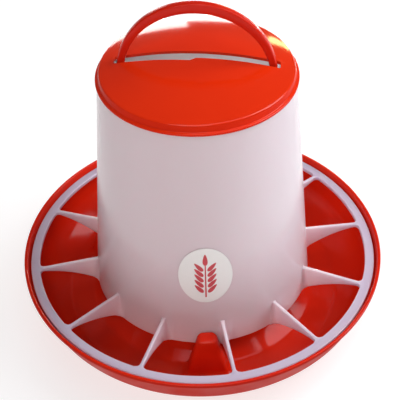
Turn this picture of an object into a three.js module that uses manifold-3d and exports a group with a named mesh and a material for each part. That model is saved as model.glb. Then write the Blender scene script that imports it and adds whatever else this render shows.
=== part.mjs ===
// Gravity poultry feeder: a red feed pan, a white hopper moulded with its grille, a red slotted lid
// and a red carry handle. Millimetres, +Z up. The origin is the centre of the base on the floor,
// and the handle lies along X.
import * as THREE from 'three';
import { mergeVertices } from 'three/addons/utils/BufferGeometryUtils.js';
import Module from 'manifold-3d';

const wasm = await Module();
wasm.setup();

// Driving dimensions.
const PAN_RADIUS = 150;
const GRILLE_TOP = 43;
const GAP = 0.3;
const ROUND_STEPS = 72;

// Feed pan: a bowl with a lipped rim, a ledge for the grille and a cone in the middle.
const PAN_WALL = 2.4;
const RIM_TOP = GRILLE_TOP + 3.8;
const RIM_THICKNESS = 2.4;
const RIM_ROUND = 0.6;
const LIP_HEIGHT = 3;
const LIP_STEP = 0.9;
const LEDGE_TOP = 39;
const LEDGE_INNER = 143.2;
const LEDGE_OUTER = 145.8;
const WALL_FOOT_RADIUS = 142;
const WALL_FOOT_HEIGHT = 25;
const BOWL_PULL_RADIUS = 137.5;
const BOWL_PULL_HEIGHT = 12;
const BOWL_CURVE_STEPS = 6;
const BOWL_FOOT_OUTER = 115;
const BOWL_FOOT_INNER = 95;
const CONE_FOOT_RADIUS = 84;
const CONE_FOOT_RISE = 6;
const CONE_TURN_RISE = 2.2;
const CONE_HEIGHT = 50;
const CONE_CROWN_RADIUS = 18;
const CONE_CROWN_RISE = 4.5;

// Grille: the ring and the fins that join it to the hopper.
const RING_OUTER = 144.8;
const RING_INNER = 137.5;
const RING_BOTTOM = LEDGE_TOP + GAP;
const FIN_COUNT = 12;
const FIN_THICKNESS = 2.6;
const FIN_ROOT_RISE = 3;
const FIN_ROOT_BOTTOM = 23.3;
const FIN_CURVE_POWER = 1.7;
const FIN_CURVE_STEPS = 8;

// Hopper barrel, a cone that narrows upwards.
const BARREL_BOTTOM = 23.3;
const BARREL_TOP = 217;
const BARREL_BOTTOM_RADIUS = 90.6;
const BARREL_TOP_RADIUS = 73;
const BARREL_WALL = 1.8;
const BARREL_SLOPE = (BARREL_BOTTOM_RADIUS - BARREL_TOP_RADIUS) / (BARREL_TOP - BARREL_BOTTOM);

// Posts on the pan and the lugs on the barrel that lock under them.
const POST_ANGLES = [7, 127, 247];
const POST_TOP = 37;
const POST_HALF_TOP = 7.4;
const POST_HALF_BOTTOM = 17.2;
const POST_INNER = 91.4;
const POST_OUTER_TOP = 101.5;
const POST_OUTER_BOTTOM = 106;
const SHELF_INNER = 85;
const SHELF_HALF = 10;
const SHELF_SINK = 2;
const LUG_HALF = 5;
const LUG_REACH = 94.8;
const LUG_HEIGHT = 3.1;
const GROOVE_CLEARANCE = 0.6;

// Lid.
const LID_RADIUS = 74.2;
const LID_FLANGE_BOTTOM = BARREL_TOP + GAP;
const LID_FLANGE_HEIGHT = 1.9;
const LID_WAIST_RADIUS = 72.3;
const LID_SIDE_RADIUS = 71.3;
const LID_SHOULDER_RADIUS = 69.8;
const LID_SHOULDER_HEIGHT = 7.7;
const LID_SHOULDER_DROP = 1.4;
const LID_DOME_RISE = 9.3;
const LID_DOME_STEPS = 12;
const LID_WALL = 2;
const SPIGOT_RADIUS = 70.7;
const SPIGOT_WALL = 1.6;
const SPIGOT_BOTTOM = 210;
const SLOT_HALF_LENGTH = 60.2;
const SLOT_HALF_WIDTH = 4.2;
const SLOT_RELIEF = 3;
const SLOT_RELIEF_NEAR = 4;
const SLOT_RELIEF_FAR = 42;
const SLOT_RELIEF_FAR_SHARE = 0.4;

// Carry handle and the brackets that hold its feet.
const HANDLE_RADIUS = 58.5;
const HANDLE_CENTRE = 217.9;
const HANDLE_DEPTH = 6;
const LEG_WIDTH = 5.4;
const GRIP_THICKNESS = 7.8;
const GRIP_FLAT_DEGREES = 10;
const ARCH_STEPS = 36;
const BRACKET_TOP = 208;
const BRACKET_THICKNESS = 3;
const BRACKET_INNER = 48;
const BRACKET_HALF_WIDTH = 12;
const FOOT_BOTTOM = 200;
const FOOT_LIP = 1.8;
const COLLAR_HEIGHT = 2.4;
const FOOT_TAPER = 1;
const LEG_CLEARANCE = 0.4;

// Label, an oval sheet that follows the cone.
const LABEL_ANGLE = 7.2;
const LABEL_HEIGHT = 94;
const LABEL_HALF_WIDTH = 20.5;
const LABEL_HALF_HEIGHT = 26.5;
const LABEL_THICKNESS = 0.3;
const LABEL_RINGS = 6;
const LABEL_STEPS = 32;

const radians = THREE.MathUtils.degToRad;

function barrelRadius(z) {
  return BARREL_BOTTOM_RADIUS - (z - BARREL_BOTTOM) * BARREL_SLOPE;
}

function toSolid(geometry) {
  const bare = geometry.index ? geometry.toNonIndexed() : geometry.clone();
  bare.deleteAttribute('normal');
  bare.deleteAttribute('uv');
  const merged = mergeVertices(bare, 1e-4);
  const vertProperties = Float32Array.from(merged.attributes.position.array);
  const triVerts = Uint32Array.from(merged.index.array);
  return new wasm.Manifold(new wasm.Mesh({ numProp: 3, vertProperties, triVerts }));
}

function toGeometry(solid) {
  const mesh = solid.getMesh();
  const geometry = new THREE.BufferGeometry();
  geometry.setAttribute('position', new THREE.BufferAttribute(mesh.vertProperties, 3));
  geometry.setIndex(new THREE.BufferAttribute(mesh.triVerts, 1));
  geometry.computeVertexNormals();
  return geometry;
}

// A solid of revolution about +Z from [radius, height] points, given upwards on the outside.
function turned(points, steps = ROUND_STEPS) {
  const profile = points.map(([radius, height]) => new THREE.Vector2(radius, height));
  const geometry = new THREE.LatheGeometry(profile, steps);
  geometry.rotateX(Math.PI / 2);
  return geometry;
}

// Points along a shallow dome, from its edge at the shoulder to its top on the axis.
function domePoints(radius, base, rise) {
  const points = [];
  for (let i = 0; i <= LID_DOME_STEPS; i += 1) {
    const share = 1 - i / LID_DOME_STEPS;
    points.push([radius * share, base + rise * (1 - share ** 2)]);
  }
  return points;
}

// Points of a curve that leaves its start towards the pull point and arrives at its end from it.
function pulledCurve(start, pull, end, steps) {
  const points = [];
  for (let i = 0; i <= steps; i += 1) {
    const t = i / steps;
    const blend = (axis) => start[axis] * (1 - t) ** 2
      + pull[axis] * 2 * t * (1 - t) + end[axis] * t ** 2;
    points.push([blend(0), blend(1)]);
  }
  return points;
}

function block(width, depth, height, x, y, z) {
  const geometry = new THREE.BoxGeometry(width, depth, height);
  geometry.translate(x, y, z);
  return geometry;
}

// Turns a piece built facing -Y to the given angle, counted from -Y towards +X.
function facing(geometry, degrees) {
  return geometry.rotateZ(radians(degrees));
}

// A lug post standing on the pan floor, drawn in on both sides and on its outer face.
function postBlock() {
  const geometry = new THREE.BoxGeometry(2, 1, POST_TOP - PAN_WALL / 2);
  geometry.translate(0, 0, (POST_TOP + PAN_WALL / 2) / 2);
  const position = geometry.attributes.position;
  for (let i = 0; i < position.count; i += 1) {
    const isTop = position.getZ(i) > GRILLE_TOP / 2;
    const isInner = position.getY(i) > 0;
    const outer = isTop ? POST_OUTER_TOP : POST_OUTER_BOTTOM;
    position.setX(i, position.getX(i) * (isTop ? POST_HALF_TOP : POST_HALF_BOTTOM));
    position.setY(i, isInner ? -POST_INNER : -outer);
  }
  return geometry;
}

function makeFeedPan() {
  const rimInner = PAN_RADIUS - RIM_THICKNESS;
  const lipBottom = RIM_TOP - LIP_HEIGHT;
  const bowlShift = PAN_WALL * Math.SQRT1_2;
  const innerBowl = pulledCurve(
    [BOWL_FOOT_OUTER - PAN_WALL / 2, PAN_WALL],
    [BOWL_PULL_RADIUS - bowlShift, BOWL_PULL_HEIGHT + bowlShift],
    [WALL_FOOT_RADIUS - PAN_WALL, WALL_FOOT_HEIGHT],
    BOWL_CURVE_STEPS,
  );
  const outerBowl = pulledCurve(
    [WALL_FOOT_RADIUS, WALL_FOOT_HEIGHT],
    [BOWL_PULL_RADIUS, BOWL_PULL_HEIGHT],
    [BOWL_FOOT_OUTER, 0],
    BOWL_CURVE_STEPS,
  );
  const topSide = [
    [0, CONE_HEIGHT],
    [CONE_CROWN_RADIUS * 0.6, CONE_HEIGHT - CONE_CROWN_RISE * 0.3],
    [CONE_CROWN_RADIUS, CONE_HEIGHT - CONE_CROWN_RISE],
    [CONE_FOOT_RADIUS, PAN_WALL + CONE_FOOT_RISE],
    [(CONE_FOOT_RADIUS + BOWL_FOOT_INNER) / 2, PAN_WALL + CONE_TURN_RISE],
    [BOWL_FOOT_INNER + PAN_WALL / 2, PAN_WALL],
    ...innerBowl,
    [LEDGE_INNER, LEDGE_TOP],
    [LEDGE_OUTER, LEDGE_TOP],
    [rimInner, RIM_TOP - RIM_ROUND],
    [rimInner + RIM_ROUND, RIM_TOP],
    [PAN_RADIUS - RIM_ROUND, RIM_TOP],
    [PAN_RADIUS, RIM_TOP - RIM_ROUND],
  ];
  const underSide = [
    [PAN_RADIUS, lipBottom],
    [PAN_RADIUS - LIP_STEP, lipBottom - LIP_STEP / 2],
    ...outerBowl,
    [BOWL_FOOT_INNER, 0],
    [(CONE_FOOT_RADIUS + BOWL_FOOT_INNER) / 2, CONE_TURN_RISE / 2],
    [CONE_FOOT_RADIUS - PAN_WALL / 2, CONE_FOOT_RISE],
    [CONE_CROWN_RADIUS, CONE_HEIGHT - CONE_CROWN_RISE - PAN_WALL],
    [0, CONE_HEIGHT - PAN_WALL],
  ];
  let solid = toSolid(turned([...topSide, ...underSide].reverse()));
  const shelfTop = BARREL_BOTTOM - GAP;
  const shelfFoot = PAN_WALL + CONE_TURN_RISE;
  const shelfDepth = POST_INNER - SHELF_INNER + SHELF_SINK;
  for (const angle of POST_ANGLES) {
    const post = toSolid(facing(postBlock(), angle));
    const shelf = toSolid(facing(
      block(2 * SHELF_HALF, shelfDepth, shelfTop - shelfFoot,
        0, -SHELF_INNER - shelfDepth / 2, (shelfTop + shelfFoot) / 2),
      angle,
    ));
    // The lug's groove is open towards +X of the post and stopped at the other end.
    const grooveLeft = -LUG_HALF - GROOVE_CLEARANCE;
    const grooveRight = 2 * SHELF_HALF;
    const grooveDepth = LUG_REACH + GROOVE_CLEARANCE - SHELF_INNER;
    const grooveHeight = LUG_HEIGHT + 2 * GROOVE_CLEARANCE;
    const groove = toSolid(facing(
      block(grooveRight - grooveLeft, grooveDepth, grooveHeight,
        (grooveLeft + grooveRight) / 2, -SHELF_INNER - grooveDepth / 2,
        shelfTop + grooveHeight / 2),
      angle,
    ));
    solid = solid.add(post).add(shelf).subtract(groove);
  }
  return toGeometry(solid);
}

function makeBarrel() {
  const inner = (z) => barrelRadius(z) - BARREL_WALL;
  const profile = [
    [inner(BARREL_BOTTOM), BARREL_BOTTOM],
    [barrelRadius(BARREL_BOTTOM), BARREL_BOTTOM],
    [barrelRadius(BARREL_TOP), BARREL_TOP],
    [inner(BARREL_TOP), BARREL_TOP],
    [inner(BARREL_BOTTOM), BARREL_BOTTOM],
  ];
  let solid = toSolid(turned(profile));
  const lugDepth = LUG_REACH - BARREL_BOTTOM_RADIUS + BARREL_WALL / 2;
  for (const angle of POST_ANGLES) {
    const lug = block(2 * LUG_HALF, lugDepth, LUG_HEIGHT,
      0, -LUG_REACH + lugDepth / 2, BARREL_BOTTOM + LUG_HEIGHT / 2);
    solid = solid.add(toSolid(facing(lug, angle)));
  }
  const bracketOuter = inner(BRACKET_TOP) + BARREL_WALL / 2;
  const bracketMiddle = BRACKET_TOP - BRACKET_THICKNESS / 2;
  const legMiddle = HANDLE_RADIUS - LEG_WIDTH / 2;
  for (const side of [-1, 1]) {
    const length = bracketOuter - BRACKET_INNER;
    const plate = block(length, 2 * BRACKET_HALF_WIDTH, BRACKET_THICKNESS,
      side * (BRACKET_INNER + length / 2), 0, bracketMiddle);
    const hole = block(LEG_WIDTH + 2 * LEG_CLEARANCE, HANDLE_DEPTH + 2 * LEG_CLEARANCE,
      BRACKET_THICKNESS + 2, side * legMiddle, 0, bracketMiddle);
    // The plate's corners are trimmed to the inside of the cone before it is joined.
    const keep = turned([
      [0, BRACKET_TOP - BRACKET_THICKNESS - 1],
      [bracketOuter, BRACKET_TOP - BRACKET_THICKNESS - 1],
      [bracketOuter, BRACKET_TOP + 1],
      [0, BRACKET_TOP + 1],
    ]);
    solid = solid.add(toSolid(plate).intersect(toSolid(keep)).subtract(toSolid(hole)));
  }
  return toGeometry(solid);
}

function makeRing() {
  return turned([
    [RING_INNER, RING_BOTTOM],
    [RING_OUTER, RING_BOTTOM],
    [RING_OUTER, GRILLE_TOP],
    [RING_INNER, GRILLE_TOP],
    [RING_INNER, RING_BOTTOM],
  ]);
}

// A fin is a thin upright web that rises a little to the barrel, with a hollow curve below.
function makeFin() {
  const outer = RING_INNER - GAP;
  const rootHeight = GRILLE_TOP + FIN_ROOT_RISE;
  const rootTop = barrelRadius(rootHeight) + GAP;
  const rootBottom = barrelRadius(FIN_ROOT_BOTTOM) + GAP;
  const shape = new THREE.Shape();
  shape.moveTo(rootTop, rootHeight);
  shape.lineTo(rootBottom, FIN_ROOT_BOTTOM);
  for (let i = 1; i <= FIN_CURVE_STEPS; i += 1) {
    const along = i / FIN_CURVE_STEPS;
    const drop = (RING_BOTTOM - FIN_ROOT_BOTTOM) * (1 - along) ** FIN_CURVE_POWER;
    shape.lineTo(rootBottom + (outer - rootBottom) * along, RING_BOTTOM - drop);
  }
  shape.lineTo(outer, GRILLE_TOP);
  const geometry = new THREE.ExtrudeGeometry(shape, { depth: FIN_THICKNESS, bevelEnabled: false });
  geometry.translate(0, 0, -FIN_THICKNESS / 2);
  geometry.rotateX(Math.PI / 2);
  geometry.rotateZ(-Math.PI / 2);
  return geometry;
}

function makeLid() {
  const shoulder = LID_FLANGE_BOTTOM + LID_SHOULDER_HEIGHT;
  const flangeTop = LID_FLANGE_BOTTOM + LID_FLANGE_HEIGHT;
  const spigotInner = SPIGOT_RADIUS - SPIGOT_WALL;
  const innerShoulder = shoulder - LID_WALL;
  const topSide = [
    [LID_RADIUS, LID_FLANGE_BOTTOM],
    [LID_RADIUS, flangeTop],
    [LID_WAIST_RADIUS, flangeTop],
    [LID_SIDE_RADIUS, shoulder - LID_SHOULDER_DROP],
    ...domePoints(LID_SHOULDER_RADIUS, shoulder, LID_DOME_RISE),
  ];
  const underSide = [
    [SPIGOT_RADIUS, LID_FLANGE_BOTTOM],
    [SPIGOT_RADIUS, SPIGOT_BOTTOM],
    [spigotInner, SPIGOT_BOTTOM],
    [spigotInner, innerShoulder - LID_SHOULDER_DROP],
    ...domePoints(LID_SHOULDER_RADIUS - LID_WALL, innerShoulder, LID_DOME_RISE),
  ];
  const profile = [...underSide.reverse(), ...topSide];
  // The slot is a little wider over its left half, on the side away from the rear.
  const front = -SLOT_HALF_WIDTH;
  const outline = new THREE.Shape([
    new THREE.Vector2(-SLOT_HALF_LENGTH, front),
    new THREE.Vector2(-SLOT_RELIEF_FAR, front - SLOT_RELIEF * SLOT_RELIEF_FAR_SHARE),
    new THREE.Vector2(-SLOT_RELIEF_NEAR, front - SLOT_RELIEF),
    new THREE.Vector2(0, front),
    new THREE.Vector2(SLOT_HALF_LENGTH, front),
    new THREE.Vector2(SLOT_HALF_LENGTH, SLOT_HALF_WIDTH),
    new THREE.Vector2(-SLOT_HALF_LENGTH, SLOT_HALF_WIDTH),
  ]);
  const slot = new THREE.ExtrudeGeometry(outline, { depth: LID_RADIUS, bevelEnabled: false });
  slot.translate(0, 0, flangeTop);
  return toGeometry(toSolid(turned(profile)).subtract(toSolid(slot)));
}

function makeHandle() {
  const innerRadius = HANDLE_RADIUS - LEG_WIDTH;
  const innerRise = HANDLE_RADIUS - GRIP_THICKNESS;
  const bracketBottom = BRACKET_TOP - BRACKET_THICKNESS;
  const collarBottom = BRACKET_TOP + LEG_CLEARANCE;
  const barbTop = bracketBottom - LEG_CLEARANCE;
  // One leg's outline below the arch, from the outside of the arch round the foot to its inside.
  const legOutline = (side) => [
    [side * HANDLE_RADIUS, collarBottom + COLLAR_HEIGHT],
    [side * (HANDLE_RADIUS + FOOT_LIP), collarBottom + COLLAR_HEIGHT],
    [side * (HANDLE_RADIUS + FOOT_LIP), collarBottom],
    [side * HANDLE_RADIUS, collarBottom],
    [side * HANDLE_RADIUS, barbTop],
    [side * (HANDLE_RADIUS + FOOT_LIP), barbTop],
    [side * (HANDLE_RADIUS - FOOT_TAPER), FOOT_BOTTOM],
    [side * (innerRadius + FOOT_TAPER), FOOT_BOTTOM],
    [side * (innerRadius - FOOT_LIP), barbTop],
    [side * innerRadius, barbTop],
    [side * innerRadius, collarBottom],
    [side * (innerRadius - FOOT_LIP), collarBottom],
    [side * (innerRadius - FOOT_LIP), collarBottom + COLLAR_HEIGHT],
    [side * innerRadius, collarBottom + COLLAR_HEIGHT],
  ];
  const arc = (width, rise) => {
    const points = [];
    for (let i = 0; i <= ARCH_STEPS; i += 1) {
      const angle = Math.PI * (i / ARCH_STEPS);
      points.push([width * Math.cos(angle), HANDLE_CENTRE + rise * Math.sin(angle)]);
    }
    return points;
  };
  // The crown of the inner arc is cut level to give the grip a flat underside.
  const flatHeight = HANDLE_CENTRE + innerRise * Math.cos(radians(GRIP_FLAT_DEGREES));
  const inner = arc(innerRadius, innerRise).map(([x, z]) => [x, Math.min(z, flatHeight)]);
  const points = [
    ...arc(HANDLE_RADIUS, HANDLE_RADIUS),
    ...legOutline(-1),
    ...inner.reverse(),
    ...legOutline(1).reverse(),
  ];
  const shape = new THREE.Shape(points.map(([x, z]) => new THREE.Vector2(x, z)));
  const geometry = new THREE.ExtrudeGeometry(shape, { depth: HANDLE_DEPTH, bevelEnabled: false });
  geometry.translate(0, 0, -HANDLE_DEPTH / 2);
  geometry.rotateX(Math.PI / 2);
  return geometry;
}

function makeLabel() {
  const bottom = [];
  const top = [];
  for (let i = 0; i <= LABEL_RINGS; i += 1) {
    bottom.push([i / LABEL_RINGS, 0]);
    top.push([1 - i / LABEL_RINGS, LABEL_THICKNESS]);
  }
  const geometry = turned([...bottom, ...top], LABEL_STEPS);
  const position = geometry.attributes.position;
  const tilt = Math.atan(BARREL_SLOPE);
  for (let i = 0; i < position.count; i += 1) {
    const across = position.getX(i) * LABEL_HALF_WIDTH;
    const up = position.getY(i) * LABEL_HALF_HEIGHT;
    const height = LABEL_HEIGHT + up * Math.cos(tilt);
    const radius = barrelRadius(height) + GAP + position.getZ(i);
    const angle = across / barrelRadius(LABEL_HEIGHT);
    position.setXYZ(i, radius * Math.sin(angle), -radius * Math.cos(angle), height);
  }
  return facing(geometry, LABEL_ANGLE);
}

const red = { color: 0xc8321a, roughness: 0.3, metalness: 0 };
const white = { color: 0xe6dde0, roughness: 0.4, metalness: 0 };
const paper = { color: 0xf4f2ee, roughness: 0.55, metalness: 0 };

function named(name, geometry, look) {
  const mesh = new THREE.Mesh(geometry, new THREE.MeshStandardMaterial(look));
  mesh.name = name;
  return mesh;
}

const feeder = new THREE.Group();
feeder.add(named('feed_pan', makeFeedPan(), red));

const hopper = new THREE.Group();
hopper.add(named('hopper_barrel', makeBarrel(), white));
hopper.add(named('grille_ring', makeRing(), white));
for (let i = 0; i < FIN_COUNT; i += 1) {
  const fin = named(`grille_fin_${String(i + 1).padStart(2, '0')}`, makeFin(), white);
  fin.rotation.z = radians((i + 0.5) * (360 / FIN_COUNT));
  hopper.add(fin);
}
hopper.add(named('carry_handle', makeHandle(), red));
hopper.add(named('label', makeLabel(), paper));
feeder.add(hopper);

feeder.add(named('lid', makeLid(), red));

export default feeder;
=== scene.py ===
"""Looks of a gravity poultry feeder: red pan, white hopper with its grille, slotted lid, arch handle.

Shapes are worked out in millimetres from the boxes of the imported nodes, and made in metres.
"""

import math

import bmesh
import bpy
from mathutils import Matrix, Vector


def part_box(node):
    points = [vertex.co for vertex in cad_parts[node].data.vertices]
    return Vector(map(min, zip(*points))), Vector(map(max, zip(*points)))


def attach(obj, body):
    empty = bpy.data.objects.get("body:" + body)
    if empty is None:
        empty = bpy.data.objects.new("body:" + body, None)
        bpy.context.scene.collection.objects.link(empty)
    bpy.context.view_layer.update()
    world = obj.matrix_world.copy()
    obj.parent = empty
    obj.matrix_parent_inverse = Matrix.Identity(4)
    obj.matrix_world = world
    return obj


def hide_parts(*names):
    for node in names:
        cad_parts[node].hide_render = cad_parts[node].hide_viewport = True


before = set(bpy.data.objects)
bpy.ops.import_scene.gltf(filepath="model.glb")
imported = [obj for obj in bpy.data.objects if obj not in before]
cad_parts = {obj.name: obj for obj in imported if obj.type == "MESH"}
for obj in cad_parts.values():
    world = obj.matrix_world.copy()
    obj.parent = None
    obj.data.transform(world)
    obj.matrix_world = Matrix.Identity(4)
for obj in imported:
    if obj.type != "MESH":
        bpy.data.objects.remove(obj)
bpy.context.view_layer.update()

MM = 0.001
TURN = 2 * math.pi
ROUND_STEPS = 192


def box_mm(node):
    low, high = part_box(node)
    return low / MM, high / MM


def radius_at(node, height):
    """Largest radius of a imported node's points at one height, in mm."""
    points = [v.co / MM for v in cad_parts[node].data.vertices]
    return max(math.hypot(p.x, p.y) for p in points if abs(p.z - height) < 0.05)


def top_beyond(node, radius):
    """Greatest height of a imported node's points beyond a radius, in mm."""
    points = [v.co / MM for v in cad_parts[node].data.vertices]
    return max(p.z for p in points if math.hypot(p.x, p.y) > radius)


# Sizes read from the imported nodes, in mm.
pan_high = box_mm("feed_pan")[1]
ring_low, ring_high = box_mm("grille_ring")
barrel_low, barrel_high = box_mm("hopper_barrel")
lid_low, lid_high = box_mm("lid")
handle_low, handle_high = box_mm("carry_handle")
label_low, label_high = box_mm("label")

GAP = 0.3
PAN_RADIUS = pan_high.x
CONE_TOP = pan_high.z
RIM_TOP = top_beyond("feed_pan", PAN_RADIUS - 1)
GRILLE_TOP = ring_high.z
RING_WIDTH = 7.3
RING_OUTER = ring_high.x
RING_INNER = RING_OUTER - RING_WIDTH
RING_BOTTOM = ring_low.z
BARREL_BOTTOM = barrel_low.z
BARREL_TOP = barrel_high.z
BARREL_FOOT = barrel_high.x
BARREL_NECK = radius_at("hopper_barrel", BARREL_TOP)
BARREL_SLOPE = (BARREL_FOOT - BARREL_NECK) / (BARREL_TOP - BARREL_BOTTOM)
BARREL_WALL = 1.8
LID_RADIUS = lid_high.x
LID_TOP = lid_high.z
LID_FLANGE = BARREL_TOP + GAP
SPIGOT_BOTTOM = lid_low.z
FOOT_LIP = 1.8
FOOT_BOTTOM = handle_low.z
HANDLE_RADIUS = handle_high.x - FOOT_LIP
HANDLE_DEPTH = handle_high.y - handle_low.y
HANDLE_CENTRE = handle_high.z - HANDLE_RADIUS

# Sizes that more than one piece uses, in mm and degrees.
FIN_COUNT = 12
POST_ANGLES = (7, 127, 247)
LUG_HALF = 5
LUG_INNER = 89.4
LUG_REACH = 94.8
LUG_HEIGHT = 3.1
LEG_WIDTH = 5.4
LEG_CLEARANCE = 0.4
BRACKET_TOP = 208
BRACKET_BOTTOM = 205


def barrel_radius(z):
    return BARREL_FOOT - (z - BARREL_BOTTOM) * BARREL_SLOPE


# Mesh helpers. Points are in mm.


def make_object(name, bm):
    bmesh.ops.scale(bm, vec=(MM, MM, MM), verts=bm.verts)
    bmesh.ops.recalc_face_normals(bm, faces=bm.faces)
    mesh = bpy.data.meshes.new(name)
    bm.to_mesh(mesh)
    bm.free()
    obj = bpy.data.objects.new(name, mesh)
    bpy.context.scene.collection.objects.link(obj)
    return obj


def pulled(start, pull, end, steps=12):
    """Points of a curve that leaves its start towards the pull point and arrives at its end from it."""
    out = []
    for i in range(steps + 1):
        t = i / steps
        out.append(Vector(start) * (1 - t) ** 2 + Vector(pull) * 2 * t * (1 - t) + Vector(end) * t ** 2)
    return out


def rounded(points, steps=6):
    """Rounds each corner of an outline of (x, y, fillet) points; both ends stay as they are."""
    out = [Vector(points[0][:2])]
    for before, here, after in zip(points, points[1:], points[2:]):
        corner = Vector(here[:2])
        back, ahead = Vector(before[:2]) - corner, Vector(after[:2]) - corner
        fillet = here[2]
        if fillet <= 0:
            out.append(corner)
            continue
        half = back.angle(ahead) / 2
        reach = min(fillet / math.tan(half), back.length * 0.48, ahead.length * 0.48)
        start, end = corner + back.normalized() * reach, corner + ahead.normalized() * reach
        for i in range(steps + 1):
            t = i / steps
            out.append(start * (1 - t) ** 2 + corner * 2 * t * (1 - t) + end * t ** 2)
    out.append(Vector(points[-1][:2]))
    return out


def add_turned(bm, profile, steps=ROUND_STEPS):
    """A solid of revolution about Z. The (radius, height) profile is closed, or both ends are on the axis."""
    closed = (profile[0] - profile[-1]).length < 1e-6
    points = profile[:-1] if closed else profile
    columns = []
    for radius, height in points:
        if radius < 1e-6:
            columns.append([bm.verts.new((0, 0, height))] * steps)
            continue
        column = []
        for i in range(steps):
            angle = TURN * i / steps
            column.append(bm.verts.new((radius * math.cos(angle), radius * math.sin(angle), height)))
        columns.append(column)
    pairs = list(zip(columns, columns[1:]))
    if closed:
        pairs.append((columns[-1], columns[0]))
    for lower, upper in pairs:
        for i in range(steps):
            j = (i + 1) % steps
            corners = [lower[i], lower[j], upper[j], upper[i]]
            face = list(dict.fromkeys(corners))
            if len(face) > 2:
                bm.faces.new(face)


def add_loft(bm, sections):
    """A closed solid through rings of points, capped at both ends."""
    rings = [[bm.verts.new(p) for p in section] for section in sections]
    for lower, upper in zip(rings, rings[1:]):
        count = len(lower)
        for i in range(count):
            j = (i + 1) % count
            bm.faces.new([lower[i], lower[j], upper[j], upper[i]])
    bm.faces.new(rings[0])
    bm.faces.new(rings[-1])


def corner_box(half_x, low_y, high_y, fillet, steps=4):
    """A rectangle's outline with round corners, as (x, y) pairs."""
    fillet = min(fillet, half_x * 0.98, (high_y - low_y) * 0.49)
    corners = (
        (half_x - fillet, high_y - fillet, 0),
        (-half_x + fillet, high_y - fillet, 90),
        (-half_x + fillet, low_y + fillet, 180),
        (half_x - fillet, low_y + fillet, 270),
    )
    out = []
    for x, y, start in corners:
        for i in range(steps + 1):
            angle = math.radians(start + 90 * i / steps)
            out.append((x + fillet * math.cos(angle), y + fillet * math.sin(angle)))
    return out


def facing(point, degrees):
    """Turns a point of a piece built facing -Y, towards +X."""
    return Matrix.Rotation(math.radians(degrees), 3, "Z") @ Vector(point)


def boolean(target, tool, operation):
    """Joins or cuts a solid with another, and takes the other away."""
    modifier = target.modifiers.new("solid", "BOOLEAN")
    modifier.operation = operation
    modifier.solver = "EXACT"
    modifier.object = tool
    apply_modifiers(target)
    bpy.data.objects.remove(tool)


def apply_modifiers(obj):
    depsgraph = bpy.context.evaluated_depsgraph_get()
    mesh = bpy.data.meshes.new_from_object(obj.evaluated_get(depsgraph))
    old = obj.data
    obj.modifiers.clear()
    obj.data = mesh
    mesh.name = obj.name
    bpy.data.meshes.remove(old)


def shade_smooth(obj, degrees=35):
    obj.data.shade_smooth()
    obj.data.set_sharp_from_angle(angle=math.radians(degrees))


def flare(distance, fillet):
    """How far a concave fillet stands out at a distance from the face it meets."""
    if distance >= fillet:
        return 0.0
    inside = fillet - max(distance, 0.0)
    return fillet - math.sqrt(max(fillet ** 2 - inside ** 2, 0.0))


# Feed pan. Outline points are (radius, height), some with a fillet after them.

PAN_WALL = 2.4
BOWL_TOP = (142, 25)
BOWL_PULL = (137.5, 12)
BOWL_FOOT = (115, 0)
BOWL_TOP_INSIDE = (139.6, 25)
BOWL_PULL_INSIDE = (135.8, 13.7)
BOWL_FOOT_INSIDE = (113.8, PAN_WALL)
LEDGE_TOP = 39.0
LEDGE_INNER = 143.2
LEDGE_OUTER = 145.8
LIP_HEIGHT = 3
LIP_STEP = 0.9

POST_TOP = 37.0
POST_BASE = 1.2
POST_ROOT = 1.8
POST_HALF_TOP = 7.4
POST_HALF_BASE = 17.2
POST_INNER = 91.4
POST_OUTER_TOP = 101.5
POST_OUTER_BASE = 106
POST_CORNER = 3.2
POST_FILLET = 4.0
POST_CROWN = 2.2
POST_STEPS = 6
CROWN_STEPS = 4

SHELF_HALF = 10
SHELF_INNER = 85
SHELF_OUTER = 93.4
SHELF_BASE = 6.2
SHELF_BASE_SLOPE = 0.5
GROOVE_SIDE_CLEARANCE = 0.6
GROOVE_DEPTH_CLEARANCE = 0.8
GROOVE_TOP_CLEARANCE = 0.7
GROOVE_OPEN_END = 20.2


def post_ring(z, spread, corner, angle):
    share = (z - POST_BASE) / (POST_TOP - POST_BASE)
    half = POST_HALF_BASE + (POST_HALF_TOP - POST_HALF_BASE) * share + spread
    outer = POST_OUTER_BASE + (POST_OUTER_TOP - POST_OUTER_BASE) * share + spread
    return [facing((x, y, z), angle) for x, y in corner_box(half, -outer, -POST_INNER, corner)]


def post_sections(angle):
    """A tapered post with a fillet where it meets the pan and a rounded top."""
    fillet_end = PAN_WALL + POST_FILLET
    shoulder = POST_TOP - POST_CROWN
    heights = [PAN_WALL + POST_FILLET * i / POST_STEPS for i in range(POST_STEPS + 1)]
    heights += [fillet_end + (shoulder - fillet_end) * i / POST_STEPS for i in range(1, POST_STEPS + 1)]
    sections = [post_ring(POST_ROOT, POST_FILLET, POST_CORNER, angle)]
    for z in heights:
        sections.append(post_ring(z, flare(z - PAN_WALL, POST_FILLET), POST_CORNER, angle))
    for i in range(1, CROWN_STEPS + 1):
        turn = math.pi / 2 * i / CROWN_STEPS
        inset = POST_CROWN * (1 - math.cos(turn))
        z = shoulder + POST_CROWN * math.sin(turn)
        sections.append(post_ring(z, -inset, POST_CORNER - inset * 0.6, angle))
    return sections


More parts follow.
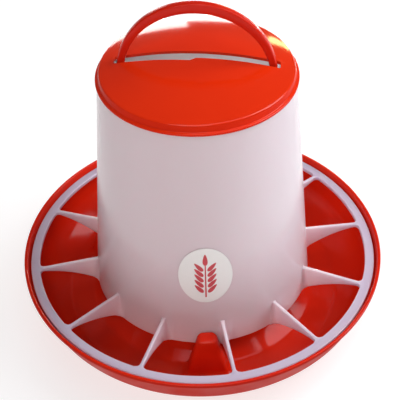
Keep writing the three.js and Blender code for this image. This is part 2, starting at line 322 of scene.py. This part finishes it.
def pan_profile():
    lip = RIM_TOP - LIP_HEIGHT
    cone = rounded(
        [
            (0, CONE_TOP, 0),
            (14, CONE_TOP - 1.6, 14),
            (84, 8.4, 12),
            (95.5, PAN_WALL, 9),
            (*BOWL_FOOT_INSIDE, 0),
        ]
    )
    inside = pulled(BOWL_FOOT_INSIDE, BOWL_PULL_INSIDE, BOWL_TOP_INSIDE)
    rim = rounded(
        [
            (*BOWL_TOP_INSIDE, 0),
            (LEDGE_INNER, LEDGE_TOP, 0.8),
            (LEDGE_OUTER, LEDGE_TOP, 0.4),
            (PAN_RADIUS - PAN_WALL, RIM_TOP, 1.0),
            (PAN_RADIUS, RIM_TOP, 1.0),
            (PAN_RADIUS, lip, 0.9),
            (PAN_RADIUS - LIP_STEP, lip - LIP_STEP / 2, 0.6),
            (*BOWL_TOP, 0),
        ]
    )
    outside = pulled(BOWL_TOP, BOWL_PULL, BOWL_FOOT)
    under = rounded(
        [
            (117, 1.0, 0),
            (*BOWL_FOOT, 2),
            (94, 0, 3),
            (82.4, 6.4, 8),
            (17, 43.3, 12),
            (0, CONE_TOP - PAN_WALL, 0),
        ]
    )
    return cone + inside[1:] + rim[1:] + outside[1:-1] + under[1:]


def make_shelf(angle):
    """Holds the hopper's edge up. Its base slopes with the pan, so that it stays inside the pan's wall."""
    outline = corner_box(SHELF_HALF, -SHELF_OUTER, -SHELF_INNER, 1.5)
    base = [(x, y, SHELF_BASE + (y + SHELF_INNER) * SHELF_BASE_SLOPE) for x, y in outline]
    top = [(x, y, BARREL_BOTTOM - GAP) for x, y in outline]
    bm = bmesh.new()
    add_loft(bm, [[facing(point, angle) for point in ring] for ring in (base, top)])
    return make_object("shelf", bm)


def make_groove(angle):
    """The room for a lug between a shelf and its post, open at one end."""
    closed_end = -LUG_HALF - GROOVE_SIDE_CLEARANCE
    outer = LUG_REACH + GROOVE_DEPTH_CLEARANCE
    outline = [
        (closed_end, -outer),
        (GROOVE_OPEN_END, -outer),
        (GROOVE_OPEN_END, -SHELF_INNER),
        (closed_end, -SHELF_INNER),
    ]
    heights = (BARREL_BOTTOM - GAP, BARREL_BOTTOM + LUG_HEIGHT + GROOVE_TOP_CLEARANCE)
    bm = bmesh.new()
    add_loft(bm, [[facing((x, y, z), angle) for x, y in outline] for z in heights])
    return make_object("groove", bm)


def make_pan():
    bm = bmesh.new()
    add_turned(bm, pan_profile())
    pan = make_object("pan_moulding", bm)
    for angle in POST_ANGLES:
        bm = bmesh.new()
        add_loft(bm, post_sections(angle))
        boolean(pan, make_object("post", bm), "UNION")
        boolean(pan, make_shelf(angle), "UNION")
        boolean(pan, make_groove(angle), "DIFFERENCE")
    shade_smooth(pan)
    return pan


# Hopper: barrel, ring, fins, lugs and brackets as one moulding.

FIN_HALF_THICKNESS = 1.3
FIN_CORNER = 0.7
FIN_ROOT_RISE = 3.0
FIN_ROOT_OVERLAP = 0.9
FIN_RING_OVERLAP = 1.0
FIN_TOP_FILLET = 1.0
FIN_FOOT_FILLET = 5.0
FIN_RING_FILLET = 3.8
FIN_CURVE_POWER = 1.7
FIN_STEPS = 34
# The fins stop just short of the ring's faces, so that no two faces lie in one plane.
FIN_BELOW_RING_TOP = 0.04
FIN_ABOVE_RING_BOTTOM = 0.1

# Extra rounds of points on the barrel keep its shading smooth where the fins join.
BARREL_ROUNDS = (46.6, 47.4, 49, 52, 60, 90, 120, 150, 180, 210)
INNER_ROUND = 120

BRACKET_INNER = 48
BRACKET_OUTER = 71.0
BRACKET_HALF_WIDTH = 12


def inner_radius(z):
    return barrel_radius(z) - BARREL_WALL


def fin_sections(angle):
    """Upright sections of a fin, from its root in the barrel to its end in the ring."""
    root_top = barrel_radius(GRILLE_TOP + FIN_ROOT_RISE)
    root_foot = barrel_radius(BARREL_BOTTOM)
    start = root_top - FIN_ROOT_OVERLAP
    end = RING_INNER + FIN_RING_OVERLAP
    sections = []
    for i in range(FIN_STEPS + 1):
        # Stations crowd towards both ends, where the fillets are.
        share = 0.5 - 0.5 * math.cos(math.pi * i / FIN_STEPS)
        radius = start + (end - start) * share
        along_top = min(max((radius - root_top) / (RING_INNER - root_top), 0), 1)
        along_foot = min(max((radius - root_foot) / (RING_INNER - root_foot), 0), 1)
        top = GRILLE_TOP - FIN_BELOW_RING_TOP + FIN_ROOT_RISE * (1 - along_top)
        drop = (RING_BOTTOM - BARREL_BOTTOM) * (1 - along_foot) ** FIN_CURVE_POWER
        bottom = RING_BOTTOM + FIN_ABOVE_RING_BOTTOM - drop
        at_ring = flare(RING_INNER - radius, FIN_RING_FILLET)
        section = []
        for x, z in corner_box(FIN_HALF_THICKNESS + at_ring, bottom, top, FIN_CORNER):
            # The root follows the cone, so lower points reach further out, and its fillet grows downwards.
            out = radius + (top - z) * BARREL_SLOPE * (1 - share)
            depth = min((top - z) / (GRILLE_TOP - BARREL_BOTTOM), 1)
            fillet = FIN_TOP_FILLET + (FIN_FOOT_FILLET - FIN_TOP_FILLET) * depth
            at_wall = flare(out - barrel_radius(z), fillet)
            section.append(facing((x + math.copysign(at_wall, x), -out, z), angle))
        sections.append(section)
    return sections


def barrel_profile():
    return rounded(
        [
            (inner_radius(INNER_ROUND), INNER_ROUND, 0),
            (inner_radius(BARREL_BOTTOM), BARREL_BOTTOM, 0.7),
            (BARREL_FOOT, BARREL_BOTTOM, 0.9),
            *[(barrel_radius(z), z, 0) for z in BARREL_ROUNDS],
            (barrel_radius(BARREL_TOP), BARREL_TOP, 0.6),
            (inner_radius(BARREL_TOP), BARREL_TOP, 0.6),
            (inner_radius(INNER_ROUND), INNER_ROUND, 0),
        ]
    )


def ring_profile():
    middle = (RING_INNER + RING_OUTER) / 2
    return rounded(
        [
            (middle, RING_BOTTOM, 0),
            (RING_OUTER, RING_BOTTOM, 0.4),
            (RING_OUTER, GRILLE_TOP, 1.0),
            (RING_INNER, GRILLE_TOP, 1.0),
            (RING_INNER, RING_BOTTOM, 0.4),
            (middle, RING_BOTTOM, 0),
        ]
    )


def bracket_blocks(name, half_width, low, high, fillet, heights):
    """One upright block at each end of the handle, as a single mesh."""
    bm = bmesh.new()
    for side in (-1, 1):
        outline = corner_box(half_width, low, high, fillet)
        add_loft(bm, [[(side * y, x, z) for x, y in outline] for z in heights])
    return make_object(name, bm)


def make_hopper():
    bm = bmesh.new()
    add_turned(bm, barrel_profile())
    hopper = make_object("hopper_moulding", bm)

    bm = bmesh.new()
    add_turned(bm, ring_profile())
    grille = make_object("grille", bm)
    bm = bmesh.new()
    for i in range(FIN_COUNT):
        add_loft(bm, fin_sections((i + 0.5) * 360 / FIN_COUNT))
    boolean(grille, make_object("fins", bm), "UNION")
    boolean(hopper, grille, "UNION")

    bm = bmesh.new()
    lug = corner_box(LUG_HALF, -LUG_REACH, -LUG_INNER, 0.8)
    for angle in POST_ANGLES:
        heights = (BARREL_BOTTOM, BARREL_BOTTOM + LUG_HEIGHT)
        add_loft(bm, [[facing((x, y, z), angle) for x, y in lug] for z in heights])
    boolean(hopper, make_object("lugs", bm), "UNION")

    heights = (BRACKET_BOTTOM, BRACKET_TOP)
    brackets = bracket_blocks("brackets", BRACKET_HALF_WIDTH, BRACKET_INNER, BRACKET_OUTER, 2.0, heights)
    boolean(hopper, brackets, "UNION")
    leg_middle = HANDLE_RADIUS - LEG_WIDTH / 2
    hole_reach = LEG_WIDTH / 2 + LEG_CLEARANCE
    hole_half_width = HANDLE_DEPTH / 2 + LEG_CLEARANCE
    low, high = leg_middle - hole_reach, leg_middle + hole_reach
    heights = (BRACKET_BOTTOM - 2, BRACKET_TOP + 2)
    holes = bracket_blocks("bracket_holes", hole_half_width, low, high, 0.5, heights)
    boolean(hopper, holes, "DIFFERENCE")
    shade_smooth(hopper, 40)
    return hopper


# Lid.

LID_WALL = 2.0
LID_FLANGE_TOP = LID_FLANGE + 1.9
LID_WAIST_RADIUS = 72.3
LID_SIDE_RADIUS = 71.2
LID_SHOULDER = LID_FLANGE + 7.7
LID_SHOULDER_RADIUS = 69.8
LID_SHOULDER_DROP = 0.35
SPIGOT_OUTER = 70.7
SPIGOT_INNER = 69.1
SLOT_HALF_LENGTH = 60.2
SLOT_HALF_WIDTH = 4.2
SLOT_RELIEF = 3.0
SLOT_RELIEF_NEAR = 4
SLOT_RELIEF_FAR = 42
SLOT_RELIEF_FAR_SHARE = 0.4


def dome_points(radius, base, rise, steps=28):
    shares = [1 - i / steps for i in range(steps + 1)]
    return [Vector((radius * share, base + rise * (1 - share ** 2))) for share in shares]


def lid_profile():
    rise = LID_TOP - LID_SHOULDER
    top = dome_points(LID_SHOULDER_RADIUS, LID_SHOULDER, rise)
    under = dome_points(LID_SHOULDER_RADIUS - LID_WALL, LID_SHOULDER - LID_WALL, rise)
    outside = rounded(
        [
            (SPIGOT_OUTER, LID_FLANGE, 0),
            (LID_RADIUS, LID_FLANGE, 0.8),
            (LID_RADIUS, LID_FLANGE_TOP, 0.8),
            (LID_WAIST_RADIUS, LID_FLANGE_TOP + 0.3, 0.6),
            (LID_SIDE_RADIUS, LID_SHOULDER - LID_SHOULDER_DROP, 1.5),
            (*top[1], 0),
        ]
    )
    inside = rounded(
        [
            (*under[1], 0),
            (SPIGOT_INNER, LID_SHOULDER - LID_WALL - LID_SHOULDER_DROP, 1.0),
            (SPIGOT_INNER, SPIGOT_BOTTOM, 0.7),
            (SPIGOT_OUTER, SPIGOT_BOTTOM, 0.7),
            (SPIGOT_OUTER, LID_FLANGE, 0),
        ]
    )
    return under[:0:-1] + inside[1:] + outside[1:] + top[2:]


def slot_outline():
    """A long slot whose front edge is relieved on the left half."""
    return rounded(
        [
            (0, SLOT_HALF_WIDTH, 0),
            (-SLOT_HALF_LENGTH, SLOT_HALF_WIDTH, 1.5),
            (-SLOT_HALF_LENGTH, -SLOT_HALF_WIDTH, 1.5),
            (-SLOT_RELIEF_FAR, -SLOT_HALF_WIDTH - SLOT_RELIEF * SLOT_RELIEF_FAR_SHARE, 8),
            (-SLOT_RELIEF_NEAR, -SLOT_HALF_WIDTH - SLOT_RELIEF, 1.2),
            (0, -SLOT_HALF_WIDTH, 1.2),
            (SLOT_HALF_LENGTH, -SLOT_HALF_WIDTH, 1.5),
            (SLOT_HALF_LENGTH, SLOT_HALF_WIDTH, 1.5),
            (0, SLOT_HALF_WIDTH, 0),
        ]
    )[:-1]


def make_lid():
    bm = bmesh.new()
    add_turned(bm, lid_profile())
    lid = make_object("lid_cover", bm)
    bm = bmesh.new()
    add_loft(bm, [[(x, y, z) for x, y in slot_outline()] for z in (LID_FLANGE + 0.5, LID_TOP + 20)])
    boolean(lid, make_object("slot", bm), "DIFFERENCE")
    shade_smooth(lid)
    return lid


# Carry handle.

GRIP_THICKNESS = 7.8
COLLAR_HEIGHT = 2.4
COLLAR_STEP = 0.3
COLLAR_REACH = 1.75
HOOK_REACH = 1.7
EDGE_REACH = 1.5
EDGE_STEP = 0.01
LEG_TOP = 214
ARCH_STEPS = 72
BAND_CORNER = 1.3
BAND_CORNER_STEPS = 5


def handle_stations():
    """The outer and inner edge of the band at each station, from the left foot to the right foot."""
    outer = HANDLE_RADIUS
    inner = outer - LEG_WIDTH
    hook_top = BRACKET_BOTTOM - LEG_CLEARANCE
    collar_bottom = BRACKET_TOP + LEG_CLEARANCE
    collar_top = collar_bottom + COLLAR_HEIGHT
    # Height, outer edge and inner edge of one leg: a tapered hook, the neck in the bracket and a collar.
    leg = [
        (FOOT_BOTTOM, outer - 1, inner + 1),
        (FOOT_BOTTOM + 0.6, outer - 0.5, inner + 0.6),
        (hook_top - 0.2, outer + HOOK_REACH, inner - HOOK_REACH),
        (hook_top - EDGE_STEP, outer + EDGE_REACH, inner - EDGE_REACH),
        (hook_top, outer, inner),
        (collar_bottom, outer, inner),
        (collar_bottom + EDGE_STEP, outer + EDGE_REACH, inner - EDGE_REACH),
        (collar_bottom + COLLAR_STEP, outer + COLLAR_REACH, inner - COLLAR_REACH),
        (collar_top - COLLAR_STEP, outer + COLLAR_REACH, inner - COLLAR_REACH),
        (collar_top - EDGE_STEP, outer + EDGE_REACH, inner - EDGE_REACH),
        (collar_top, outer, inner),
        (LEG_TOP, outer, inner),
    ]
    left = [((-a, z), (-b, z)) for z, a, b in leg]
    right = [((a, z), (b, z)) for z, a, b in leg]
    arch = []
    for i in range(ARCH_STEPS + 1):
        angle = math.pi - math.pi * i / ARCH_STEPS
        across, up = math.cos(angle), math.sin(angle)
        outside = (outer * across, HANDLE_CENTRE + outer * up)
        inside = (inner * across, HANDLE_CENTRE + (outer - GRIP_THICKNESS) * up)
        arch.append((outside, inside))
    return left + arch + right[::-1]


def make_handle():
    sections = []
    for outside, inside in handle_stations():
        outer, inner = Vector(outside), Vector(inside)
        middle = (outer + inner) / 2
        across = (outer - inner).normalized()
        half_width = (outer - inner).length / 2
        section = []
        for y, along in corner_box(HANDLE_DEPTH / 2, -half_width, half_width, BAND_CORNER, BAND_CORNER_STEPS):
            point = middle + across * along
            section.append((point.x, y, point.y))
        sections.append(section)
    bm = bmesh.new()
    add_loft(bm, sections)
    handle = make_object("carry_handle_arch", bm)
    shade_smooth(handle, 40)
    return handle


# Label: an oval sheet with a plain printed sprig of grain.

LABEL_MIDDLE = (label_low.z + label_high.z) / 2
LABEL_HALF_HEIGHT = 26.42
LABEL_HALF_WIDTH = 20.5
LABEL_ANGLE = 7.2
LABEL_BACK = 0.3
LABEL_FRONT = 0.6
LABEL_STEPS = 96
LABEL_RINGS = 10
PRINT_BACK = 0.5
PRINT_FRONT = 0.68
SEED_STEPS = 16
SEED_ROWS = 5
SEED_SPACING = 5.3
SEED_TILT = 40


def on_label(across, up, lift):
    """A point on the label, measured from its middle, lifted off the cone."""
    height = LABEL_MIDDLE + up
    radius = barrel_radius(height) + lift
    angle = math.radians(LABEL_ANGLE) + across / barrel_radius(LABEL_MIDDLE)
    return (radius * math.sin(angle), -radius * math.cos(angle), height)


def seed_outline(x, y, tilt, length, width):
    """A pointed oval that leans by tilt degrees and is fuller at its lower end."""
    lean = math.radians(tilt)
    outline = []
    for i in range(SEED_STEPS):
        turn = TURN * i / SEED_STEPS
        along = length * math.cos(turn)
        side = width * math.sin(turn) * (0.7 - 0.3 * math.cos(turn))
        across = x + along * math.sin(lean) + side * math.cos(lean)
        up = y + along * math.cos(lean) - side * math.sin(lean)
        outline.append((across, up))
    return outline


def print_outlines():
    stem = [(-0.6, -21), (0.6, -21), (0.45, 10), (-0.45, 10)]
    outlines = [stem, seed_outline(0, 15.5, 0, 5.4, 2.6)]
    for row in range(SEED_ROWS):
        for side in (-1, 1):
            outlines.append(seed_outline(side * 5.0, 8.6 - row * SEED_SPACING, side * SEED_TILT, 5.0, 2.3))
    return outlines


def label_rings(bm, lift):
    """Fills one face of the sheet with rings of quads, and returns its edge."""
    middle = bm.verts.new(on_label(0, 0, lift))
    rings = []
    for r in range(1, LABEL_RINGS + 1):
        half_width = LABEL_HALF_WIDTH * r / LABEL_RINGS
        half_height = LABEL_HALF_HEIGHT * r / LABEL_RINGS
        ring = []
        for i in range(LABEL_STEPS):
            turn = TURN * i / LABEL_STEPS
            place = on_label(half_width * math.cos(turn), half_height * math.sin(turn), lift)
            ring.append(bm.verts.new(place))
        rings.append(ring)
    for i in range(LABEL_STEPS):
        j = (i + 1) % LABEL_STEPS
        bm.faces.new([middle, rings[0][i], rings[0][j]])
        for small, large in zip(rings, rings[1:]):
            bm.faces.new([small[i], large[i], large[j], small[j]])
    return rings[-1]


def make_label():
    bm = bmesh.new()
    back = label_rings(bm, LABEL_BACK)
    front = label_rings(bm, LABEL_FRONT)
    for i in range(LABEL_STEPS):
        j = (i + 1) % LABEL_STEPS
        bm.faces.new([back[i], back[j], front[j], front[i]])
    for outline in print_outlines():
        known = set(bm.faces)
        add_loft(bm, [[on_label(x, y, lift) for x, y in outline] for lift in (PRINT_BACK, PRINT_FRONT)])
        for face in set(bm.faces) - known:
            face.material_index = 1
    label = make_object("label_sheet", bm)
    shade_smooth(label)
    return label


# Materials.

PLASTIC_IOR = 1.49
# Radii in mm where the grille's painted shade starts and where it is full.
GRILLE_SHADE_START = 94
GRILLE_SHADE_END = 138
# Depth in mm of the pan's rim faces that get painted shade.
PAN_OUTSIDE_SHADE_DEPTH = 1.5
# Depth in mm of the lid's edge faces that get painted shade.
LID_EDGE_SHADE_DEPTH = 3.5


def nodes_of(name):
    material = bpy.data.materials.new(name)
    material.use_nodes = True
    tree = material.node_tree
    tree.nodes.clear()
    output = tree.nodes.new("ShaderNodeOutputMaterial")
    shader = tree.nodes.new("ShaderNodeBsdfPrincipled")
    tree.links.new(shader.outputs["BSDF"], output.inputs["Surface"])
    return material, tree, shader


def noise(tree, scale, detail=3.0, stretch=(1, 1, 1)):
    coordinates = tree.nodes.new("ShaderNodeTexCoord")
    mapping = tree.nodes.new("ShaderNodeMapping")
    mapping.inputs["Scale"].default_value = stretch
    texture = tree.nodes.new("ShaderNodeTexNoise")
    texture.inputs["Scale"].default_value = scale
    texture.inputs["Detail"].default_value = detail
    tree.links.new(coordinates.outputs["Object"], mapping.inputs["Vector"])
    tree.links.new(mapping.outputs["Vector"], texture.inputs["Vector"])
    return texture.outputs["Fac"]


def ramp(tree, value, low, high, first, second):
    """Maps value from low..high to first..second."""
    node = tree.nodes.new("ShaderNodeMapRange")
    node.inputs["From Min"].default_value = low
    node.inputs["From Max"].default_value = high
    node.inputs["To Min"].default_value = first
    node.inputs["To Max"].default_value = second
    tree.links.new(value, node.inputs["Value"])
    return node.outputs["Result"]


def distance_from_axis(tree):
    coordinates = tree.nodes.new("ShaderNodeTexCoord")
    flatten = tree.nodes.new("ShaderNodeVectorMath")
    flatten.operation = "MULTIPLY"
    flatten.inputs[1].default_value = (1, 1, 0)
    length = tree.nodes.new("ShaderNodeVectorMath")
    length.operation = "LENGTH"
    tree.links.new(coordinates.outputs["Object"], flatten.inputs[0])
    tree.links.new(flatten.outputs["Vector"], length.inputs[0])
    return length.outputs["Value"]


def mix_colour(tree, factor, first, second):
    node = tree.nodes.new("ShaderNodeMix")
    node.data_type = "RGBA"
    tree.links.new(factor, node.inputs["Factor"])
    for socket, value in (("A", first), ("B", second)):
        target = [s for s in node.inputs if s.name == socket and s.type == "RGBA"][0]
        if isinstance(value, bpy.types.NodeSocket):
            tree.links.new(value, target)
        else:
            target.default_value = (*value, 1)
    return [s for s in node.outputs if s.type == "RGBA"][0]


def bump(tree, heights, shader):
    """Adds bumps one on another: (value, strength, distance in m)."""
    normal = None
    for value, strength, distance in heights:
        node = tree.nodes.new("ShaderNodeBump")
        node.inputs["Strength"].default_value = strength
        node.inputs["Distance"].default_value = distance
        tree.links.new(value, node.inputs["Height"])
        if normal is not None:
            tree.links.new(normal, node.inputs["Normal"])
        normal = node.outputs["Normal"]
    tree.links.new(normal, shader.inputs["Normal"])


def gloss_red(name, colour, deep, worn, roughness, shine):
    """Red plastic that varies a little in tone and roughness, and is paler on worn edges."""
    material, tree, shader = nodes_of(name)
    broad = noise(tree, 14, 2)
    base = mix_colour(tree, ramp(tree, broad, 0.3, 0.7, 0, 1), colour, deep)
    geometry = tree.nodes.new("ShaderNodeNewGeometry")
    edge = ramp(tree, geometry.outputs["Pointiness"], 0.52, 0.6, 0, 0.25)
    base = mix_colour(tree, edge, base, worn)
    tree.links.new(base, shader.inputs["Base Color"])
    handled = ramp(tree, noise(tree, 45, 4), 0.2, 0.8, roughness * 0.7, roughness * 1.4)
    tree.links.new(handled, shader.inputs["Roughness"])
    shader.inputs["IOR"].default_value = PLASTIC_IOR
    shader.inputs["Specular IOR Level"].default_value = shine
    sag = noise(tree, 16, 1)
    bump(tree, [(sag, 0.15, 0.0012)], shader)
    return material


def milky_white():
    material, tree, shader = nodes_of("hopper_plastic")
    cloud = noise(tree, 11, 3, (1, 1, 0.3))
    shade = ramp(tree, cloud, 0.3, 0.7, 0, 1)
    wall = mix_colour(tree, shade, (0.82, 0.655, 0.71), (0.86, 0.70, 0.76))
    # Painted shade and a painted cool tint: the solid grille is painted darker and cooler than the thin wall
    # that light comes through.
    grille = mix_colour(tree, shade, (0.59, 0.53, 0.65), (0.64, 0.575, 0.70))
    # Painted shade mask: the colour turns to the grille's darker, cooler one with distance from the axis.
    grille_shade_mask = ramp(tree, distance_from_axis(tree), GRILLE_SHADE_START * MM, GRILLE_SHADE_END * MM, 0, 1)
    base = mix_colour(tree, grille_shade_mask, wall, grille)
    tree.links.new(base, shader.inputs["Base Color"])
    shader.inputs["Subsurface Weight"].default_value = 1.0
    shader.inputs["Subsurface Radius"].default_value = (0.85, 1.0, 0.95)
    shader.inputs["Subsurface Scale"].default_value = 0.006
    shader.inputs["IOR"].default_value = PLASTIC_IOR
    scuff = noise(tree, 60, 5, (1, 1, 0.25))
    tree.links.new(ramp(tree, scuff, 0.3, 0.7, 0.12, 0.24), shader.inputs["Roughness"])
    draw = noise(tree, 30, 2, (1, 1, 0.12))
    bump(tree, [(draw, 0.1, 0.0006)], shader)
    return material


def label_film():
    material, tree, shader = nodes_of("label_film")
    grain = noise(tree, 300, 4)
    base = mix_colour(tree, grain, (0.90, 0.895, 0.88), (0.94, 0.935, 0.925))
    tree.links.new(base, shader.inputs["Base Color"])
    tree.links.new(ramp(tree, grain, 0.3, 0.7, 0.42, 0.6), shader.inputs["Roughness"])
    bump(tree, [(grain, 0.08, 0.0001)], shader)
    return material


def label_ink():
    material, tree, shader = nodes_of("label_ink")
    grain = noise(tree, 260, 3)
    base = mix_colour(tree, grain, (0.56, 0.05, 0.065), (0.68, 0.08, 0.10))
    tree.links.new(base, shader.inputs["Base Color"])
    tree.links.new(ramp(tree, grain, 0.3, 0.7, 0.4, 0.55), shader.inputs["Roughness"])
    return material


def dress(obj, *materials):
    for material in materials:
        obj.data.materials.append(material)


def satin_shaded_faces(obj, belongs):
    """Puts the faces that a test picks, by middle in mm and normal, into the second material slot, the satin
    one with painted shade.
    """
    for face in obj.data.polygons:
        if belongs(face.center / MM, face.normal):
            face.material_index = 1


# Painted shade: the pan's outer rim and downward faces get the darker satin red, standing in for the shade on
# faces turned from the lamps.
def pan_outside_shade(middle, normal):
    at_rim = math.hypot(middle.x, middle.y) > PAN_RADIUS - PAN_OUTSIDE_SHADE_DEPTH and normal.z < 0.5
    return at_rim or normal.z < -0.2


# Painted shade: the lid's side and edge faces get the darker satin red.
def lid_edge_shade(middle, normal):
    return math.hypot(middle.x, middle.y) > LID_RADIUS - LID_EDGE_SHADE_DEPTH and normal.z < 0.6


# Put the pieces together.

pan_red = gloss_red(
    "pan_plastic", colour=(0.74, 0.022, 0.005), deep=(0.67, 0.016, 0.004), worn=(0.80, 0.08, 0.04),
    roughness=0.11, shine=0.2,
)
lid_red = gloss_red(
    "lid_plastic", colour=(0.88, 0.034, 0.003), deep=(0.82, 0.028, 0.003), worn=(0.90, 0.09, 0.03),
    roughness=0.09, shine=0.45,
)
handle_red = gloss_red(
    "handle_plastic", colour=(0.72, 0.018, 0.004), deep=(0.66, 0.014, 0.003), worn=(0.78, 0.08, 0.04),
    roughness=0.2, shine=0.2,
)
# Satin finish for the pan's outside, with a darker red as painted shade.
pan_satin_shaded = gloss_red(
    "pan_outside_shade", colour=(0.52, 0.016, 0.005), deep=(0.47, 0.012, 0.004), worn=(0.60, 0.06, 0.03),
    roughness=0.38, shine=0.03,
)
# Satin finish for the lid's edge, with a darker red as painted shade.
lid_satin_shaded = gloss_red(
    "lid_edge_shade", colour=(0.76, 0.026, 0.004), deep=(0.70, 0.022, 0.004), worn=(0.80, 0.08, 0.03),
    roughness=0.22, shine=0.05,
)
hopper_white = milky_white()

pan = make_pan()
dress(pan, pan_red, pan_satin_shaded)
satin_shaded_faces(pan, pan_outside_shade)
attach(pan, "pan")
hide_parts("feed_pan")

hopper = make_hopper()
dress(hopper, hopper_white)
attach(hopper, "hopper")
fins = [f"grille_fin_{i + 1:02d}" for i in range(FIN_COUNT)]
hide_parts("hopper_barrel", "grille_ring", *fins)

lid = make_lid()
dress(lid, lid_red, lid_satin_shaded)
satin_shaded_faces(lid, lid_edge_shade)
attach(lid, "lid")
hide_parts("lid")

handle = make_handle()
dress(handle, handle_red)
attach(handle, "hopper")
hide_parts("carry_handle")

label = make_label()
dress(label, label_film(), label_ink())
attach(label, "hopper")
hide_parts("label")


# Floor, light and camera.

FLOOR_HALF = 3000

# The camera stands in front of the feeder, above it and a little to the right of straight ahead.
# Lengths are in mm and angles in radians.
CAMERA_AZIMUTH = math.radians(5.92)
CAMERA_DISTANCE = 3.7262 * PAN_RADIUS
CAMERA_HEIGHT = 3.6882 * PAN_RADIUS + GRILLE_TOP
CAMERA_PITCH = 0.7315
CAMERA_YAW = -0.0011
CAMERA_ROLL = -0.03
CAMERA_LENS = 82.9


def make_stage():
    bm = bmesh.new()
    half = FLOOR_HALF
    corners = [(-half, -half, 0), (half, -half, 0), (half, half, 0), (-half, half, 0)]
    bm.faces.new([bm.verts.new(c) for c in corners])
    floor = make_object("floor", bm)
    material, tree, shader = nodes_of("floor_paint")
    speck = noise(tree, 6, 2)
    tone = mix_colour(tree, speck, (0.42, 0.42, 0.42), (0.45, 0.45, 0.45))
    tree.links.new(tone, shader.inputs["Base Color"])
    shader.inputs["Roughness"].default_value = 0.8
    shader.inputs["Emission Color"].default_value = (1, 1, 1, 1)
    shader.inputs["Emission Strength"].default_value = 0.66
    dress(floor, material)


def area_light(name, place, aim, width, height, watts, colour):
    """A rectangular studio light. Places and sizes are in metres."""
    light = bpy.data.lights.new(name, "AREA")
    light.shape = "RECTANGLE"
    light.size, light.size_y = width, height
    light.energy = watts
    light.color = colour
    obj = bpy.data.objects.new(name, light)
    obj.location = place
    obj.rotation_mode = "QUATERNION"
    obj.rotation_quaternion = (Vector(aim) - Vector(place)).to_track_quat("-Z", "Y")
    bpy.context.scene.collection.objects.link(obj)


def make_world():
    world = bpy.data.worlds.new("studio")
    world.use_nodes = True
    tree = world.node_tree
    # Dim as a light, so that it leaves no haze on the gloss, and pale where it is seen past the floor.
    path = tree.nodes.new("ShaderNodeLightPath")
    tone = mix_colour(tree, path.outputs["Is Camera Ray"], (0.1, 0.09, 0.088), (0.72, 0.72, 0.72))
    tree.links.new(tone, tree.nodes["Background"].inputs["Color"])
    bpy.context.scene.world = world


def make_camera():
    heading = CAMERA_AZIMUTH - CAMERA_YAW
    reach, fall = math.cos(CAMERA_PITCH), math.sin(CAMERA_PITCH)
    ahead = Vector((-math.sin(heading) * reach, math.cos(heading) * reach, -fall))
    level = ahead.cross(Vector((0, 0, 1))).normalized()
    upward = level.cross(ahead)
    right = level * math.cos(CAMERA_ROLL) + upward * math.sin(CAMERA_ROLL)
    up = upward * math.cos(CAMERA_ROLL) - level * math.sin(CAMERA_ROLL)
    place = (
        CAMERA_DISTANCE * math.sin(CAMERA_AZIMUTH),
        -CAMERA_DISTANCE * math.cos(CAMERA_AZIMUTH),
        CAMERA_HEIGHT,
    )
    data = bpy.data.cameras.new("camera")
    data.sensor_width = 36
    data.lens = CAMERA_LENS
    data.clip_start = 0.01
    camera = bpy.data.objects.new("camera", data)
    matrix = Matrix((right, up, -ahead)).transposed().to_4x4()
    matrix.translation = Vector(place) * MM
    camera.matrix_world = matrix
    bpy.context.scene.collection.objects.link(camera)
    bpy.context.scene.camera = camera


make_stage()
make_world()
area_light("overhead", (0.2, -0.15, 1.9), (0, 0, 0), 1.5, 0.6, 6, (0.8, 0.9, 1))
area_light("upper_right", (1.0, 0.3, 1.3), (0, 0, 0.1), 0.9, 0.9, 13, (0.93, 0.96, 1))
area_light("low_right", (1.3, 0.15, 0.55), (0, 0, 0.13), 0.6, 0.6, 5.5, (0.84, 0.95, 1))
area_light("front", (-0.1, -1.4, 1.2), (0, 0, 0.12), 1.2, 0.8, 10.5, (1, 0.92, 0.88))
area_light("back_base", (0.3, 1.7, 0.11), (0, 0, 0.14), 1.4, 0.16, 17, (1, 0.95, 0.88))
area_light("back_low", (-0.12, 1.87, 0.31), (0, 0, 0.22), 0.35, 0.3, 2.2, (1, 0.97, 0.93))
area_light("back_tall", (-0.62, 1.85, 0.4), (0, 0, 0.22), 0.75, 0.5, 8, (1, 0.97, 0.93))
area_light("back_right", (0.42, 1.8, 0.74), (0, 0, 0.22), 0.22, 0.16, 1.6, (1, 0.72, 0.3))
make_camera()
bpy.context.scene.view_settings.view_transform = "Standard"
